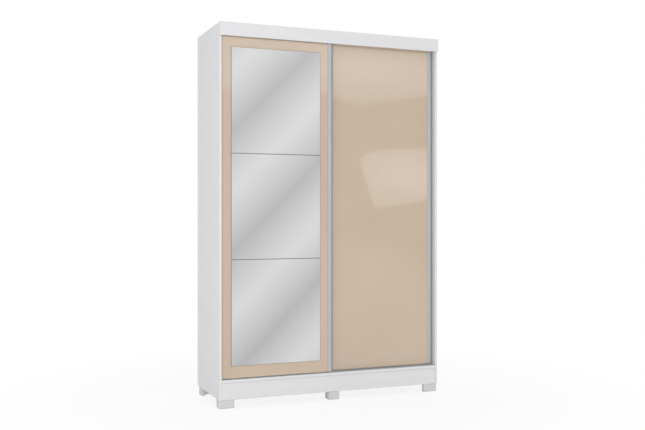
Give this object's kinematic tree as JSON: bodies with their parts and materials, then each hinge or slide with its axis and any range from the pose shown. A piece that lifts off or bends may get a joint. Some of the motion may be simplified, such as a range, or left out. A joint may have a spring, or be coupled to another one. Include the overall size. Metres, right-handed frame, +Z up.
{
  "type": "sliding door wardrobe",
  "caption": "Tall white wardrobe on feet, with beige gloss doors that slide past each other on rollers, the front door faced with mirror panes, over shelves and hanging rails.",
  "frame": {"origin": "on the floor, under the middle of the bounding box", "axes": "+Z up, +X to the right as seen from the front, the doors face -Y"},
  "size_m": [1.5, 0.555, 2.35],
  "materials": {
    "white_board": "white melamine-faced board, satin",
    "back_hardboard": "thin hardboard, painted pale on the inside",
    "beige_lacquer": "beige high-gloss lacquer",
    "mirror": "silvered glass, polished edges",
    "satin_aluminium": "satin anodised",
    "foot_plastic": "white moulded",
    "white_plastic": "white moulded",
    "grey_plastic": "grey moulded",
    "nylon": "natural nylon",
    "steel": "zinc plated",
    "rubber": "clear-grey bumper"
  },
  "bodies": {
    "carcass": {"left_side_panel": "white_board", "right_side_panel": "white_board", "base_panel": "white_board", "top_panel": "white_board", "centre_partition": "white_board", "front_plinth": "white_board", "rear_plinth": "white_board", "centre_bearer": "white_board", "cornice": "white_board", "left_hat_shelf": "white_board", "left_shoe_shelf": "white_board", "right_hat_shelf": "white_board", "right_upper_shelf": "white_board", "right_middle_shelf": "white_board", "right_lower_shelf": "white_board", "left_back_board": "back_hardboard", "right_back_board": "back_hardboard", "back_joint_strip": "white_plastic", "rail_sockets": "white_plastic", "front_left_foot": "foot_plastic", "front_middle_foot": "foot_plastic", "front_right_foot": "foot_plastic", "rear_left_foot": "foot_plastic", "rear_middle_foot": "foot_plastic", "rear_right_foot": "foot_plastic", "back_nails": "steel", "shelf_pins": "steel", "carcass_screws": "steel", "cam_locks": "steel", "cam_bolts": "steel", "cornice_brackets": "steel", "bracket_screws": "steel", "track_screws": "steel", "left_hanging_rail": "satin_aluminium", "right_hanging_rail": "satin_aluminium", "lower_track": "satin_aluminium", "upper_track": "satin_aluminium", "bump_stops": "rubber"},
    "left_door": {"left_door_panel": "beige_lacquer", "left_door_handle": "satin_aluminium", "left_door_axles": "steel", "left_door_left_guide_shoe": "white_plastic", "left_door_left_roller_housing": "grey_plastic", "left_door_right_guide_shoe": "white_plastic", "left_door_right_roller_housing": "grey_plastic", "mirror_pane_1": "mirror", "mirror_pane_2": "mirror", "mirror_pane_3": "mirror"},
    "right_door": {"right_door_panel": "beige_lacquer", "right_door_handle": "satin_aluminium", "right_door_axles": "steel", "right_door_left_guide_shoe": "white_plastic", "right_door_left_roller_housing": "grey_plastic", "right_door_right_guide_shoe": "white_plastic", "right_door_right_roller_housing": "grey_plastic"},
    "left_door_left_wheel": {"left_door_left_wheel": "nylon"},
    "left_door_right_wheel": {"left_door_right_wheel": "nylon"},
    "right_door_left_wheel": {"right_door_left_wheel": "nylon"},
    "right_door_right_wheel": {"right_door_right_wheel": "nylon"}
  },
  "joints": [
    {"name": "left_door_slide", "type": "slide", "parent": "carcass", "child": "left_door", "axis": [1, 0, 0], "range_m": [0, 0.7355]},
    {"name": "right_door_slide", "type": "slide", "parent": "carcass", "child": "right_door", "axis": [1, 0, 0], "range_m": [-0.7105, 0]},
    {"name": "left_door_left_wheel_roll", "type": "hinge", "parent": "left_door", "child": "left_door_left_wheel", "pos_m": [-0.653, -0.251, 0.19], "axis": [0, 1, 0], "range_deg": [-35, 4220]},
    {"name": "left_door_right_wheel_roll", "type": "hinge", "parent": "left_door", "child": "left_door_right_wheel", "pos_m": [-0.1005, -0.251, 0.19], "axis": [0, 1, 0], "range_deg": [-35, 4220]},
    {"name": "right_door_left_wheel_roll", "type": "hinge", "parent": "right_door", "child": "right_door_left_wheel", "pos_m": [0.0575, -0.218, 0.19], "axis": [0, 1, 0], "range_deg": [-4077, 35]},
    {"name": "right_door_right_wheel_roll", "type": "hinge", "parent": "right_door", "child": "right_door_right_wheel", "pos_m": [0.635, -0.218, 0.19], "axis": [0, 1, 0], "range_deg": [-4077, 35]}
  ],
  "couplings": [
    {"joint": "left_door_left_wheel_roll", "follows": "left_door_slide", "rad_per_m": 100},
    {"joint": "left_door_right_wheel_roll", "follows": "left_door_slide", "rad_per_m": 100},
    {"joint": "right_door_left_wheel_roll", "follows": "right_door_slide", "rad_per_m": 100},
    {"joint": "right_door_right_wheel_roll", "follows": "right_door_slide", "rad_per_m": 100}
  ]
}
